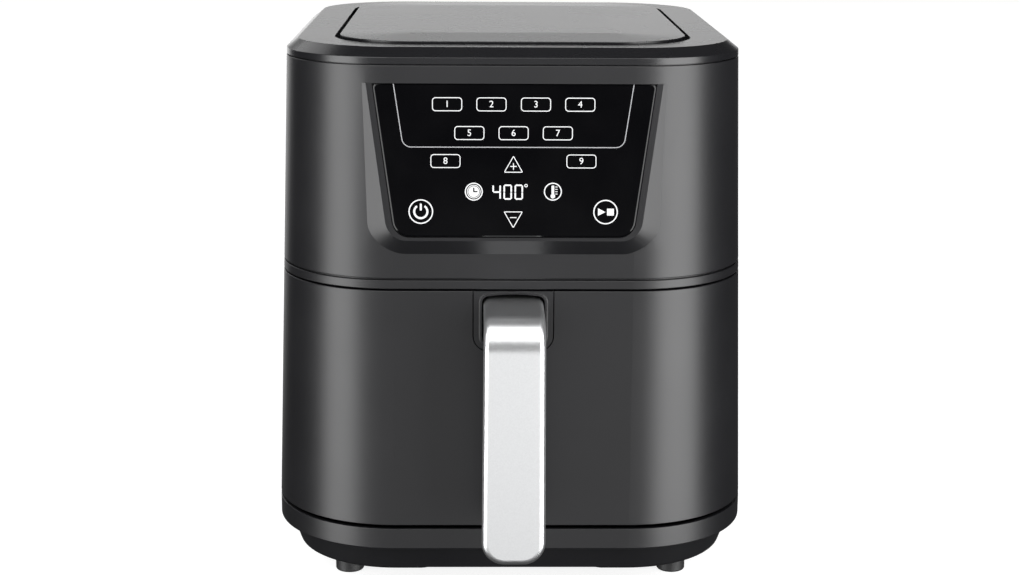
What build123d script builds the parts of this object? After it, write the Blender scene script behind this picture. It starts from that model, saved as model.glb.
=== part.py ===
from build123d import *
import os
from math import atan2, cos, degrees, radians, sin, tan

# Body envelope: width, depth and corner where the drafted walls start, on top of the base
body_width = 278
body_depth = 330
corner_radius = 72
draft_angle = 1.9
wall = 2.6

# Heights of the stacked pieces, from the floor up
foot_height = 12.4
plinth_height = 16.6
ring_height = 12.5
drawer_gap = 2.1
drawer_height = 137
seam_gap = 1.0
trim_height = 5.0
upper_height = 120.3
lid_band = 3.4
lid_chamfer = 5.2
lid_chamfer_run = 6.7
panel_rise = 2.3

# Shadow lines where two casings meet, and the softened edges of the mouldings
seam_depth = 1.9
lid_seam = 0.8
edge_round = 0.5

# Clearances
fit = 0.2
slide_gap = 0.3
running_gap = 0.05

# Base and feet
plinth_inset = 6
plinth_taper = 20
plinth_round = 3
ring_round = 1
notch_width = 107
notch_run = 6
notch_height = 1.5
foot_radius = 8.4
foot_round = 1.2
foot_inset_x = 42.7
foot_inset_y = 45
screw_radius = 1.8
screw_head_radius = 3.4
screw_head_height = 2.2
boss_radius = 4.5
boss_height = 9
post_radius = 5
post_inset = 48
bottom_slot_length = 34
bottom_slot_width = 4
bottom_slot_pitch = 11
bottom_slot_count = 7

# Console on the upper housing, measured along its own slanting face
console_drop = 10.7
console_sink = 1
console_tilt = 4
console_height = 86.6
console_top_half = 81.6
console_bottom_half = 69.8
console_corner = 12
skirt_depth = 9
skirt_rise = 1.5
skirt_drop = 12.6
skirt_top_half = 97.3
skirt_bottom_half = 83.6
skirt_corner = 26
console_frame = 7
glass_height = 84.3
glass_top_half = 77.9
glass_bottom_half = 65.9
glass_corner = 9.5
glass_top_corner = 2.6
glass_thickness = 2.2
glass_gap = 0.5
glass_bevel = 0.4
glass_bevel_angle = 63
glass_ledge = 4
guide_thickness = 3
board_thickness = 1.6

# Lid and its raised panel
lid_recess_floor = 2.3
lid_recess_wall = 2
panel_width = 199.2
panel_edge_front = 16.9
panel_corner = 43.6
panel_gap = 3.2
panel_lift = 2.4
panel_crown = 1.0
panel_crown_run = 40
panel_edge_round = 0.4
pad_radius = 5
intake_slot_length = 46
intake_slot_width = 4
intake_slot_pitch = 18
intake_column_pitch = 69
intake_slot_rows = 9

# Air outlet at the back of the upper housing
outlet_width = 104
outlet_height = 26
outlet_drop = 96
outlet_rim = 3
outlet_rim_height = 1.2
slat_count = 5
slat_thickness = 1.6
slat_depth = 5
slat_angle = 35
duct_sheet = 1.2

# Cord gland at the back of the lower housing
gland_reach = 6
gland_height = 26
gland_x = 74
gland_radius = 7
gland_flange = 9.5
gland_flange_height = 2.5
gland_bore = 3.7

# Drawer front and its split from the lower housing, just behind the front corners
split_setback = 3
split_gap = 0.9
drawer_wall = 3
drawer_hollow = 30
back_thickness = 2.6

# Escutcheon round the handle root
escutcheon_half = 22.3
escutcheon_height = 34.1
escutcheon_corner = 8.5
escutcheon_thickness = 4
escutcheon_gap = 0.6
root_half = 17.6
root_margin_top = 1.6
root_margin_bottom = 3.8
root_arch = 1.6
root_corner = 4
root_lip = 1.4
root_lip_height = 1
root_lip_round = 0.4

# Handle
handle_reach = 45
handle_top_half = 16.7
handle_bottom_half = 17.6
handle_root_drop = 3.6
handle_slope = 2.4
handle_end = 7
handle_end_corner = 12.5
handle_bend = 18
cover_thickness = 4
cover_round = 3.6
core_thickness = 10
core_inset = 1.6
core_arm = 19
core_bend = 13
core_round = 3
handle_screw_spacing = 12
handle_screw_depth = 14

# Cooking chamber
chamber_side_gap = 16
chamber_sheet = 1.0
chamber_floor_gap = 3.1
chamber_back_gap = 40
chamber_corner = 40
chamber_flange = 6
deck_thickness = 2.5

# Basket, its rails and hanger
basket_side_gap = 10
basket_front_gap = 2.4
basket_back_gap = 14
basket_floor_gap = 3.4
basket_corner = 46
basket_draft = 2.5
basket_round = 9
basket_sheet = 1.4
basket_headroom = 6.6
rim_width = 6
rim_thickness = 1.5
rail_width = 6.5
rail_height = 4
rail_inset = 12
hanger_width = 120
hanger_leg = 22
hanger_sheet = 1.5
hanger_foot = 4.5
hanger_relief = 32

# Crisper plate and bumpers
crisper_margin = 15
crisper_corner = 40
crisper_thickness = 1.6
crisper_lift = 9
crisper_slot_length = 17
crisper_slot_width = 5
crisper_inner_slots = 8
crisper_outer_slots = 16
crisper_inner_radius = 34
crisper_outer_radius = 68
crisper_eye = 9
bumper_inset = 19
bumper_radius = 7
bumper_stem = 3.4
bumper_cap = 5.4
bumper_cap_height = 2

# Hot end: hood, guard, element and fans
hood_height = 40
hood_margin = 4
hood_cone = 12
hood_flange = 9
hood_sheet = 1.0
hood_round = 6
hood_bore = 7
guard_overlap = 3.5
guard_width = 4
guard_rings = (30, 52, 74)
guard_bar = 2
guard_spokes = 6
deck_ledge = 6
element_tube = 3.2
element_rise = 11.5
element_band = 47
element_step = 6
element_arcs = 5
bush_radius = 5.5
bush_height = 6
shaft_radius = 3
hot_fan_gap = 8
hot_fan_height = 13
hot_fan_blades = 9
hot_fan_drop = 4
fan_sheet = 1.2
fan_hub_radius = 9
blade_lean = 24
nut_width = 10
nut_height = 4
cool_fan_gap = 14
cool_fan_height = 9
cool_fan_blades = 7
cool_fan_lift = 5
cool_blade_pitch = 32
cool_blade_width = 15
cool_blade_sheet = 1.2
bracket_inset = 37
bracket_leg = 9
bracket_sheet = 2
bracket_height = 22
bracket_arm = 16
bracket_arms = 4
bracket_turn = 45
motor_radius = 31
motor_height = 36
motor_cap_radius = 16
motor_cap_height = 5
motor_round = 3
motor_bush_radius = 6
motor_bush_flange = 8.5
motor_bush_height = 2
motor_bore_gap = 0.6
motor_screw_reach = 24

# Electronics and sensors
power_board_width = 44
power_board_depth = 38
power_board_inset_x = 51
power_board_inset_y = 55
power_post_radius = 2.6
power_post_height = 5
power_post_inset = 4
relay_size = (14, 12, 15)
transformer_size = (18, 16, 16)
capacitor_radius = 5
capacitor_height = 20
sensor_radius = 2.4
sensor_depth = 13
sensor_head_radius = 5
sensor_head_height = 2
sensor_inset = 17
sensor_turn = 45
fuse_length = 20
fuse_width = 8
fuse_base = 3.2
fuse_radius = 3
fuse_inset = 19
reed_size = (8, 7, 24)
reed_drop = 40
magnet_size = (5, 4, 14)

# Heights that follow from the stack
plinth_bottom = foot_height
ring_bottom = plinth_bottom + plinth_height
ring_top = ring_bottom + ring_height
drawer_bottom = ring_top + drawer_gap
drawer_top = drawer_bottom + drawer_height
trim_bottom = drawer_top + seam_gap
trim_top = trim_bottom + trim_height
upper_top = trim_top + upper_height
lid_shoulder = upper_top + lid_band
rim_top = lid_shoulder + lid_chamfer
chamber_bottom = ring_top + chamber_floor_gap
deck_bottom = trim_top - deck_thickness
basket_top = drawer_top - basket_headroom
basket_bottom = chamber_bottom + chamber_sheet + basket_floor_gap
basket_floor = basket_bottom + basket_sheet
hood_top = trim_top + hood_height
hood_roof = hood_top + hood_sheet
bracket_top = hood_roof + bracket_height

# Places that follow from the envelope, measured from the middle of the body
body_y = (handle_reach - gland_reach) / 2
front_y = -body_depth / 2
split_y = front_y + corner_radius + split_setback
handle_y = front_y - handle_reach
chamber_front = split_y + wall
chamber_back = body_depth / 2 - chamber_back_gap
chamber_width = body_width - 2 * chamber_side_gap
foot_spacing_x = body_width - 2 * foot_inset_x
foot_spacing_y = body_depth - 2 * foot_inset_y
post_spacing = chamber_width - 2 * post_inset
back_front = front_y + drawer_wall + drawer_hollow
back_rear = back_front + back_thickness
basket_front = back_rear + basket_front_gap
basket_rear = chamber_back - basket_back_gap
basket_width = chamber_width - 2 * basket_side_gap
basket_depth = basket_rear - basket_front - 2 * rim_width
crisper_width = basket_width - 2 * crisper_margin
crisper_depth = basket_depth - 2 * crisper_margin
fan_y = (basket_front + basket_rear) / 2
hood_radius = min(basket_width, basket_depth) / 2 - hood_margin
hood_top_radius = hood_radius - hood_cone
deck_opening = hood_radius - deck_ledge
guard_radius = deck_opening + guard_overlap
element_start = hood_radius - element_band
hot_fan_radius = element_start - hot_fan_gap
cool_fan_radius = element_start - cool_fan_gap
sensor_reach = hood_top_radius - sensor_inset
bracket_radius = hood_top_radius - bracket_inset
power_board_x = body_width / 2 - power_board_inset_x
power_board_y = body_depth / 2 - power_board_inset_y
slope = tan(radians(draft_angle))


def level(z, y=0):
    return Plane(origin=(0, body_y + y, z))


def fan_level(z):
    return level(z, fan_y)


def facing_down(z, y=0):
    return Plane(origin=(0, body_y + y, z), z_dir=(0, 0, -1))


def facing_front(y, z=0, lean=0):
    normal = (0, -cos(radians(lean)), sin(radians(lean)))
    return Plane(origin=(0, body_y + y, z), x_dir=(1, 0, 0), z_dir=normal)


def facing_back(y, z=0, lean=0):
    normal = (0, cos(radians(lean)), sin(radians(lean)))
    return Plane(origin=(0, body_y + y, z), x_dir=(-1, 0, 0), z_dir=normal)


def facing_side(x):
    return Plane(origin=(x, body_y, 0), x_dir=(0, 1, 0), z_dir=(1, 0, 0))


def inset_at(z):
    return max(0, z - ring_top) * slope


def body_outline(z, inset=0, mode=Mode.ADD):
    shrink = inset_at(z) + inset
    RectangleRounded(body_width - 2 * shrink, body_depth - 2 * shrink, corner_radius - shrink, mode=mode)


def tapered_outline(sketch, top, bottom, top_half, bottom_half, corner):
    Polygon((-top_half, top), (-bottom_half, bottom), (bottom_half, bottom), (top_half, top), align=None)
    fillet(sketch.vertices().group_by(Axis.Y)[0], corner)


# Base: outer ring and a plinth that tapers in below it, hollow from above, notched under the front edge
plinth_undercut = plinth_height * tan(radians(plinth_taper))
with BuildPart() as base:
    with BuildSketch(level(ring_bottom)):
        body_outline(ring_bottom)
    extrude(amount=ring_height)
    fillet(base.edges().group_by(Axis.Z)[0], ring_round)
    fillet(base.edges().group_by(Axis.Z)[-1], edge_round)
    with BuildSketch(facing_down(ring_bottom)):
        body_outline(ring_bottom, plinth_inset)
    extrude(amount=plinth_height, taper=plinth_taper)
    fillet(base.edges().group_by(Axis.Z)[0], plinth_round)
    with BuildSketch(level(ring_bottom + wall)):
        body_outline(ring_bottom, wall)
    extrude(amount=ring_height - wall, mode=Mode.SUBTRACT)
    with BuildSketch(facing_down(ring_bottom + wall)):
        body_outline(ring_bottom, plinth_inset + wall)
    extrude(amount=plinth_height, taper=plinth_taper, mode=Mode.SUBTRACT)
    with BuildSketch(facing_front(front_y, plinth_bottom)) as notch:
        tapered_outline(notch, 0, -notch_height, notch_width / 2, notch_width / 2 - notch_run, notch_height)
        mirror(about=Plane.XZ, mode=Mode.REPLACE)
    extrude(amount=-plinth_inset - plinth_undercut - wall, mode=Mode.SUBTRACT)
    with BuildSketch(level(plinth_bottom + wall)):
        with GridLocations(foot_spacing_x, foot_spacing_y, 2, 2):
            Circle(boss_radius)
    extrude(amount=boss_height)
    with BuildSketch(level(plinth_bottom)):
        with GridLocations(foot_spacing_x, foot_spacing_y, 2, 2):
            Circle(screw_radius + fit)
    extrude(amount=wall + boss_height, mode=Mode.SUBTRACT)
    with BuildSketch(level(plinth_bottom + wall)):
        with GridLocations(post_spacing, post_spacing, 2, 2):
            Circle(post_radius)
    extrude(amount=chamber_bottom - plinth_bottom - wall)
    with BuildSketch(level(plinth_bottom)):
        with GridLocations(2 * bottom_slot_length, bottom_slot_pitch, 2, bottom_slot_count):
            SlotOverall(bottom_slot_length, bottom_slot_width)
    extrude(amount=wall, mode=Mode.SUBTRACT)

# Four round feet under the plinth, each held by one screw from below
feet = {}
for row, row_side in (("front", -1), ("rear", 1)):
    for column, column_side in (("left", -1), ("right", 1)):
        foot_x = column_side * foot_spacing_x / 2
        foot_y = body_y + row_side * foot_spacing_y / 2
        with BuildPart() as foot:
            with BuildSketch(Plane(origin=(foot_x, foot_y, 0))):
                Circle(foot_radius)
            extrude(amount=foot_height)
            fillet(foot.edges().group_by(Axis.Z)[0], foot_round)
            with Locations(Plane(origin=(foot_x, foot_y, 0), z_dir=(0, 0, -1))):
                CounterBoreHole(screw_radius + fit, screw_head_radius + fit, foot_height / 2)
        feet[f"foot_{row}_{column}"] = foot

with BuildPart() as foot_screws:
    with BuildSketch(level(foot_height / 2 - screw_head_height)):
        with GridLocations(foot_spacing_x, foot_spacing_y, 2, 2):
            Circle(screw_head_radius)
    extrude(amount=screw_head_height)
    with BuildSketch(level(foot_height / 2)):
        with GridLocations(foot_spacing_x, foot_spacing_y, 2, 2):
            Circle(screw_radius)
    extrude(amount=foot_height / 2 + wall + boss_height / 2)

# Lower housing: drafted sides and back between two seating lips, with a front wall round the drawer opening
gland_z = ring_top + gland_height
with BuildPart() as lower_housing:
    with BuildSketch(level(drawer_bottom)):
        body_outline(drawer_bottom)
    extrude(amount=drawer_height, taper=draft_angle)
    outer_rims = lower_housing.edges().group_by(Axis.Z)
    fillet(outer_rims[0] + outer_rims[-1], edge_round)
    with BuildSketch(level(ring_top)):
        body_outline(ring_top, seam_depth)
    extrude(amount=trim_bottom - ring_top, taper=draft_angle)
    with BuildSketch(level(ring_top)):
        body_outline(ring_top, wall)
    extrude(amount=trim_bottom - ring_top, taper=draft_angle, mode=Mode.SUBTRACT)
    split(bisect_by=Plane(origin=(0, body_y + split_y, 0), z_dir=(0, 1, 0)), keep=Keep.TOP)
    with BuildSketch(facing_back(split_y, ring_top)):
        foot_half = body_width / 2 - (seam_depth + wall) / 2
        head_half = foot_half - inset_at(trim_bottom)
        rise = trim_bottom - ring_top
        Polygon((-foot_half, 0), (foot_half, 0), (head_half, rise), (-head_half, rise), align=None)
        with Locations((0, chamber_floor_gap + chamber_sheet)):
            Rectangle(chamber_width - 2 * chamber_sheet, rise, align=(Align.CENTER, Align.MIN), mode=Mode.SUBTRACT)
    extrude(amount=wall)
    with BuildSketch(facing_back(0, gland_z)):
        with Locations((-gland_x, 0)):
            Circle(gland_radius + fit)
    extrude(amount=body_depth, mode=Mode.SUBTRACT)

# Cord gland: a flanged bush in the back wall, at the gland hole
gland_wall = body_depth / 2 - inset_at(gland_z)
gland_seat = gland_wall + gland_radius * slope + fit
gland_end = body_depth / 2 + gland_reach
with BuildPart() as cord_gland:
    with BuildSketch(facing_back(gland_wall - wall - gland_flange_height, gland_z)):
        with Locations((-gland_x, 0)):
            Circle(gland_radius)
    extrude(amount=gland_end - gland_wall + wall + gland_flange_height)
    with BuildSketch(facing_back(gland_seat, gland_z)):
        with Locations((-gland_x, 0)):
            Circle(gland_flange)
    extrude(amount=gland_flange_height)
    fillet(cord_gland.edges().group_by(Axis.Y)[-1], gland_flange_height / 2)
    with BuildSketch(facing_back(0, gland_z)):
        with Locations((-gland_x, 0)):
            Circle(gland_bore)
    extrude(amount=body_depth, mode=Mode.SUBTRACT)

# Mid frame: its edge is the trim band, its deck carries the hot end and the power board
with BuildPart() as mid_frame:
    with BuildSketch(level(trim_bottom)):
        body_outline(trim_bottom)
    extrude(amount=trim_height, taper=draft_angle)
    band_rims = mid_frame.edges().group_by(Axis.Z)
    fillet(band_rims[0] + band_rims[-1], edge_round)
    with BuildSketch(level(trim_bottom)):
        body_outline(trim_bottom, wall)
    extrude(amount=trim_height - deck_thickness, mode=Mode.SUBTRACT)
    with BuildSketch(fan_level(deck_bottom)):
        Circle(deck_opening)
    extrude(amount=deck_thickness, mode=Mode.SUBTRACT)
    with BuildSketch(level(trim_top)):
        with Locations((-power_board_x, power_board_y)):
            with GridLocations(
                power_board_width - 2 * power_post_inset, power_board_depth - 2 * power_post_inset, 2, 2
            ):
                Circle(power_post_radius)
    extrude(amount=power_post_height)

# Console wedge: its face starts behind the front wall, under a brow, and stands out in front of it below
console_top = upper_top - console_drop
console_front = front_y + inset_at(console_top)
console_rise = console_height * sin(radians(console_tilt)) - console_sink
console_face = facing_front(console_front + console_sink, console_top, draft_angle + console_tilt)
skirt_face = console_face.offset(-skirt_depth)


def console_outline(sketch):
    tapered_outline(sketch, 0, -console_height, console_top_half, console_bottom_half, console_corner)


with BuildPart() as console_wedge:
    with BuildSketch(skirt_face) as skirt:
        tapered_outline(
            skirt, skirt_rise, -console_height - skirt_drop, skirt_top_half, skirt_bottom_half, skirt_corner
        )
    with BuildSketch(console_face) as console:
        console_outline(console)
    loft(ruled=True)

# Upper housing: drafted shell on a seating lip, with the console, a frame behind it and the outlet window
outlet_z = upper_top - outlet_drop
outlet_face = facing_back(body_depth / 2 - inset_at(outlet_z), outlet_z, draft_angle)
with BuildPart() as upper_housing:
    with BuildSketch(level(trim_top + seam_gap)):
        body_outline(trim_top + seam_gap)
    extrude(amount=upper_height - seam_gap - lid_seam, taper=draft_angle)
    shell_rims = upper_housing.edges().group_by(Axis.Z)
    fillet(shell_rims[0] + shell_rims[-1], edge_round)
    with BuildSketch(level(trim_top)):
        body_outline(trim_top, seam_depth)
    extrude(amount=upper_height, taper=draft_angle)
    with BuildSketch(console_face) as brow:
        console_outline(brow)
    extrude(amount=2 * console_sink, mode=Mode.SUBTRACT)
    add(console_wedge.part)
    with BuildSketch(level(trim_top)):
        body_outline(trim_top, wall)
    extrude(amount=upper_height, taper=draft_angle, mode=Mode.SUBTRACT)
    with BuildSketch(console_face) as console_back:
        console_outline(console_back)
    extrude(amount=-console_frame)
    with BuildSketch(console_face) as glass_seat:
        tapered_outline(
            glass_seat,
            glass_gap,
            -glass_height - glass_gap,
            glass_top_half + glass_gap,
            glass_bottom_half + glass_gap,
            glass_corner + glass_gap,
        )
    extrude(amount=-glass_thickness, mode=Mode.SUBTRACT)
    with BuildSketch(console_face) as board_window:
        tapered_outline(
            board_window,
            -glass_ledge,
            glass_ledge - glass_height,
            glass_top_half - glass_ledge,
            glass_bottom_half - glass_ledge,
            glass_corner - glass_ledge,
        )
    extrude(amount=-console_frame - console_rise, mode=Mode.SUBTRACT)
    with BuildSketch(outlet_face):
        Rectangle(outlet_width, outlet_height)
    extrude(amount=-2 * wall, mode=Mode.SUBTRACT)

# Touch glass, its light guide and the display board, stacked in the console
with BuildPart() as control_glass:
    with BuildSketch(console_face.offset(-glass_bevel)) as glass:
        tapered_outline(glass, 0, -glass_height, glass_top_half, glass_bottom_half, glass_corner)
        fillet(glass.vertices().group_by(Axis.Y)[-1], glass_top_corner)
    extrude(amount=glass_bevel, taper=glass_bevel_angle)
    extrude(glass.sketch, amount=glass_bevel - glass_thickness)


def window_outline(sketch):
    shy = glass_ledge + slide_gap
    tapered_outline(
        sketch,
        -shy,
        shy - glass_height,
        glass_top_half - shy,
        glass_bottom_half - shy,
        glass_corner - glass_ledge,
    )


with BuildPart() as light_guide:
    with BuildSketch(console_face.offset(-glass_thickness)) as guide:
        window_outline(guide)
    extrude(amount=-guide_thickness)

with BuildPart() as display_board:
    with BuildSketch(console_face.offset(-glass_thickness - guide_thickness)) as board:
        window_outline(board)
    extrude(amount=-board_thickness)

# Air outlet grille: a rim on the back face and tilted slats in the window
with BuildPart() as rear_grille:
    with BuildSketch(outlet_face):
        RectangleRounded(outlet_width + 2 * outlet_rim, outlet_height + 2 * outlet_rim, outlet_rim)
    extrude(amount=outlet_rim_height)
    with BuildSketch(outlet_face):
        Rectangle(outlet_width - 2 * fit, outlet_height - 2 * fit)
    extrude(amount=-slat_depth)
    with BuildSketch(outlet_face.offset(outlet_rim_height)):
        Rectangle(outlet_width - 2 * wall, outlet_height - 2 * wall)
    extrude(amount=-slat_depth - outlet_rim_height, mode=Mode.SUBTRACT)
    slat_pitch = (outlet_height - 2 * wall) / slat_count
    for index in range(slat_count):
        slat_z = (index + 0.5) * slat_pitch - (outlet_height - 2 * wall) / 2
        with BuildSketch(outlet_face.offset(-slat_depth)):
            with Locations((0, slat_z)):
                Rectangle(outlet_width - 2 * wall, slat_thickness)
        extrude(amount=slat_depth, dir=outlet_face.z_dir.rotate(Axis.X, slat_angle))

# Lid: short band, sloped chamfer and a recess for the raised panel, with air slots in its floor
panel_depth = body_depth - 2 * (inset_at(lid_shoulder) + lid_chamfer_run + panel_edge_front)
recess_floor = upper_top + lid_recess_floor


def panel_outline(grow, mode=Mode.ADD):
    RectangleRounded(panel_width + 2 * grow, panel_depth + 2 * grow, panel_corner + grow, mode=mode)


with BuildPart() as top_cover:
    with BuildSketch(level(upper_top)):
        body_outline(upper_top)
    extrude(amount=lid_band, taper=draft_angle)
    with BuildSketch(level(lid_shoulder)):
        body_outline(lid_shoulder)
    extrude(amount=lid_chamfer, taper=degrees(atan2(lid_chamfer_run, lid_chamfer)))
    lid_rims = top_cover.edges().group_by(Axis.Z)
    fillet(lid_rims[-1] + lid_rims[-3], edge_round)
    with BuildSketch(level(recess_floor)):
        panel_outline(panel_gap)
    extrude(amount=rim_top - recess_floor, mode=Mode.SUBTRACT)
    with BuildSketch(level(upper_top)):
        body_outline(upper_top, lid_chamfer_run + wall)
        panel_outline(panel_gap + lid_recess_wall, mode=Mode.SUBTRACT)
    extrude(amount=rim_top - upper_top - wall, mode=Mode.SUBTRACT)
    with BuildSketch(level(upper_top)):
        with GridLocations(intake_column_pitch, intake_slot_pitch, 2, intake_slot_rows):
            SlotOverall(intake_slot_length, intake_slot_width)
    extrude(amount=lid_recess_floor, mode=Mode.SUBTRACT)

# Raised top panel, crowned by a shallow slope, standing on pads so that air enters round its edge
panel_bottom = recess_floor + panel_lift
panel_edge = rim_top + panel_rise - panel_crown
with BuildPart() as top_panel:
    with BuildSketch(level(panel_bottom)):
        panel_outline(0)
    extrude(amount=panel_edge - panel_bottom)
    with BuildSketch(level(panel_bottom)):
        panel_outline(-wall)
    extrude(amount=panel_edge - wall - panel_bottom, mode=Mode.SUBTRACT)
    with BuildSketch(level(panel_edge)):
        panel_outline(0)
    extrude(amount=panel_crown, taper=degrees(atan2(panel_crown_run, panel_crown)))
    rolled_edges = top_panel.edges().filter_by(lambda edge: abs(edge.center().Z - panel_edge) < panel_crown / 2)
    fillet(rolled_edges, panel_edge_round)
    with BuildSketch(level(recess_floor)):
        with GridLocations(panel_width - 4 * pad_radius, panel_depth - 2 * panel_corner, 2, 2):
            Circle(pad_radius)
    extrude(amount=panel_edge - wall - recess_floor)

# Drawer front: drafted cover that wraps round both corners, closed above and below, hollow behind
drawer_face = facing_front(front_y + inset_at(drawer_top), drawer_top, draft_angle)
with BuildPart() as drawer_front:
    with BuildSketch(level(drawer_bottom)):
        body_outline(drawer_bottom)
    extrude(amount=drawer_height, taper=draft_angle)
    front_rims = drawer_front.edges().group_by(Axis.Z)
    fillet(front_rims[0] + front_rims[-1], edge_round)
    with BuildSketch(level(drawer_bottom + drawer_wall)):
        body_outline(drawer_bottom + drawer_wall, drawer_wall)
    extrude(amount=drawer_height - 2 * drawer_wall, taper=draft_angle, mode=Mode.SUBTRACT)
    split(bisect_by=Plane(origin=(0, body_y + split_y - split_gap, 0), z_dir=(0, 1, 0)), keep=Keep.BOTTOM)
    with BuildSketch(level(drawer_bottom)):
        body_outline(drawer_top, drawer_wall)
        with Locations((0, back_rear)):
            Rectangle(body_width, body_depth, align=(Align.CENTER, Align.MIN), mode=Mode.INTERSECT)
    extrude(amount=drawer_height, mode=Mode.SUBTRACT)
    with BuildSketch(drawer_face) as collar_cut:
        tapered_outline(
            collar_cut,
            drawer_wall,
            -escutcheon_height - escutcheon_gap,
            escutcheon_half + escutcheon_gap,
            escutcheon_half + escutcheon_gap,
            escutcheon_corner + escutcheon_gap,
        )
    extrude(amount=-escutcheon_thickness - escutcheon_gap, mode=Mode.SUBTRACT)

# Drawer back panel, fitted inside the hollow front
back_bottom = drawer_bottom + drawer_wall + fit
back_height = drawer_height - 2 * drawer_wall - 2 * fit
root_bottom = drawer_top - escutcheon_height + root_margin_bottom
screw_rise = root_bottom + slide_gap + core_arm / 2
with BuildPart() as drawer_back:
    with BuildSketch(level(back_bottom)):
        body_outline(back_bottom, drawer_wall + fit)
    extrude(amount=back_height, taper=draft_angle)
    with BuildSketch(level(back_bottom)):
        with Locations((0, back_front)):
            Rectangle(body_width, back_thickness, align=(Align.CENTER, Align.MIN))
    extrude(amount=back_height, mode=Mode.INTERSECT)
    with BuildSketch(facing_back(back_front, screw_rise)):
        with GridLocations(handle_screw_spacing, 1, 2, 1):
            Circle(screw_radius + fit)
    extrude(amount=back_thickness, mode=Mode.SUBTRACT)

# Escutcheon: flush collar round the handle root, with a raised lip round its arched opening
def root_outline(sketch, grow):
    half = root_half + grow
    top = grow - root_margin_top
    bottom = root_margin_bottom - escutcheon_height - grow
    arch_radius = (half**2 + root_arch**2) / (2 * root_arch)
    with Locations((0, bottom)):
        Rectangle(2 * half, top - bottom, align=(Align.CENTER, Align.MIN))
    with Locations((0, top - arch_radius)):
        Circle(arch_radius, mode=Mode.INTERSECT)
    fillet(sketch.vertices(), root_corner + grow)


with BuildPart() as escutcheon:
    with BuildSketch(drawer_face) as collar:
        tapered_outline(collar, 0, -escutcheon_height, escutcheon_half, escutcheon_half, escutcheon_corner)
    extrude(amount=-escutcheon_thickness)
    with BuildSketch(drawer_face) as lip:
        root_outline(lip, root_lip)
    extrude(amount=root_lip_height)
    with BuildSketch(drawer_face.offset(root_lip_height)) as opening:
        root_outline(opening, 0)
    extrude(amount=-escutcheon_thickness - root_lip_height, mode=Mode.SUBTRACT)
    fillet(escutcheon.faces().sort_by(Axis.Y)[0].edges(), root_lip_round)

# Handle: bent silver cover over a dark core, rooted on the drawer back panel
cover_root_z = drawer_top - handle_root_drop
cover_bend_z = cover_root_z - handle_slope
handle_bottom = drawer_bottom - handle_end
arm_run = back_front - handle_y
arm_fall = handle_slope / arm_run


def handle_outline(sketch, inset):
    tapered_outline(
        sketch,
        drawer_top,
        handle_bottom + inset,
        handle_top_half - inset,
        handle_bottom_half - inset,
        handle_end_corner - inset,
    )


with BuildPart() as handle_cover:
    with BuildSketch(facing_side(0)):
        with BuildLine():
            outer = FilletPolyline(
                (back_front - fit, cover_root_z),
                (handle_y, cover_bend_z),
                (handle_y, handle_bottom),
                radius=handle_bend,
            )
            inner = FilletPolyline(
                (back_front - fit, cover_root_z - cover_thickness),
                (handle_y + cover_thickness, cover_bend_z - cover_thickness + arm_fall * cover_thickness),
                (handle_y + cover_thickness, handle_bottom),
                radius=handle_bend - cover_thickness,
            )
            Line(outer @ 0, inner @ 0)
            Line(outer @ 1, inner @ 1)
        make_face()
    extrude(amount=handle_bottom_half, both=True)
    with BuildSketch(facing_front(handle_y)) as cover_front:
        handle_outline(cover_front, 0)
    extrude(amount=-2 * arm_run, mode=Mode.INTERSECT)
    front_face = handle_cover.faces().sort_by(Axis.Y)[0]
    arm_face = handle_cover.faces().sort_by(Axis.Z)[-1]
    bend_face = handle_cover.faces().filter_by(GeomType.CYLINDER).sort_by(Axis.Z)[-1]
    rim = front_face.edges() + arm_face.edges() + bend_face.edges()
    sides = rim.filter_by(lambda edge: abs(edge.center().X) > handle_top_half / 2)
    fillet(sides + front_face.edges().sort_by(Axis.Z)[:1], cover_round)

with BuildPart() as handle_core:
    with BuildSketch(facing_side(0)):
        with BuildLine():
            upper = FilletPolyline(
                (back_front, cover_root_z - cover_thickness),
                (handle_y + cover_thickness, cover_bend_z - cover_thickness + arm_fall * cover_thickness),
                (handle_y + cover_thickness, handle_bottom + core_inset),
                radius=handle_bend - cover_thickness + core_inset,
            )
            under = FilletPolyline(
                (back_front, root_bottom + slide_gap),
                (handle_y + cover_thickness + core_thickness, root_bottom + slide_gap),
                (handle_y + cover_thickness + core_thickness, handle_bottom + core_inset),
                radius=core_bend,
            )
            Line(upper @ 0, under @ 0)
            Line(upper @ 1, under @ 1)
        make_face()
    extrude(amount=handle_bottom_half, both=True)
    with BuildSketch(facing_front(handle_y)) as core_front:
        handle_outline(core_front, core_inset)
    extrude(amount=-2 * arm_run, mode=Mode.INTERSECT)
    grip_face = handle_core.faces().filter_by(GeomType.PLANE).filter_by(
        lambda face: abs(face.center().Y - body_y - handle_y - cover_thickness - core_thickness) < fit
    )
    fillet(grip_face.edges().filter_by(lambda edge: abs(edge.center().X) > handle_top_half / 2), core_round)
    with BuildSketch(facing_front(back_front, screw_rise)):
        with GridLocations(handle_screw_spacing, 1, 2, 1):
            Circle(screw_radius + running_gap)
    extrude(amount=handle_screw_depth + screw_head_height, mode=Mode.SUBTRACT)

with BuildPart() as handle_screws:
    with BuildSketch(facing_back(back_rear, screw_rise)):
        with GridLocations(handle_screw_spacing, 1, 2, 1):
            Circle(screw_head_radius)
    extrude(amount=screw_head_height)
    with BuildSketch(facing_front(back_rear, screw_rise)):
        with GridLocations(handle_screw_spacing, 1, 2, 1):
            Circle(screw_radius)
    extrude(amount=back_thickness + handle_screw_depth)

# Cooking chamber liner: sheet box, open above and to the front, with flanges for the deck and front wall
chamber_depth = chamber_back - chamber_front
chamber_height = deck_bottom - chamber_bottom


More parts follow.
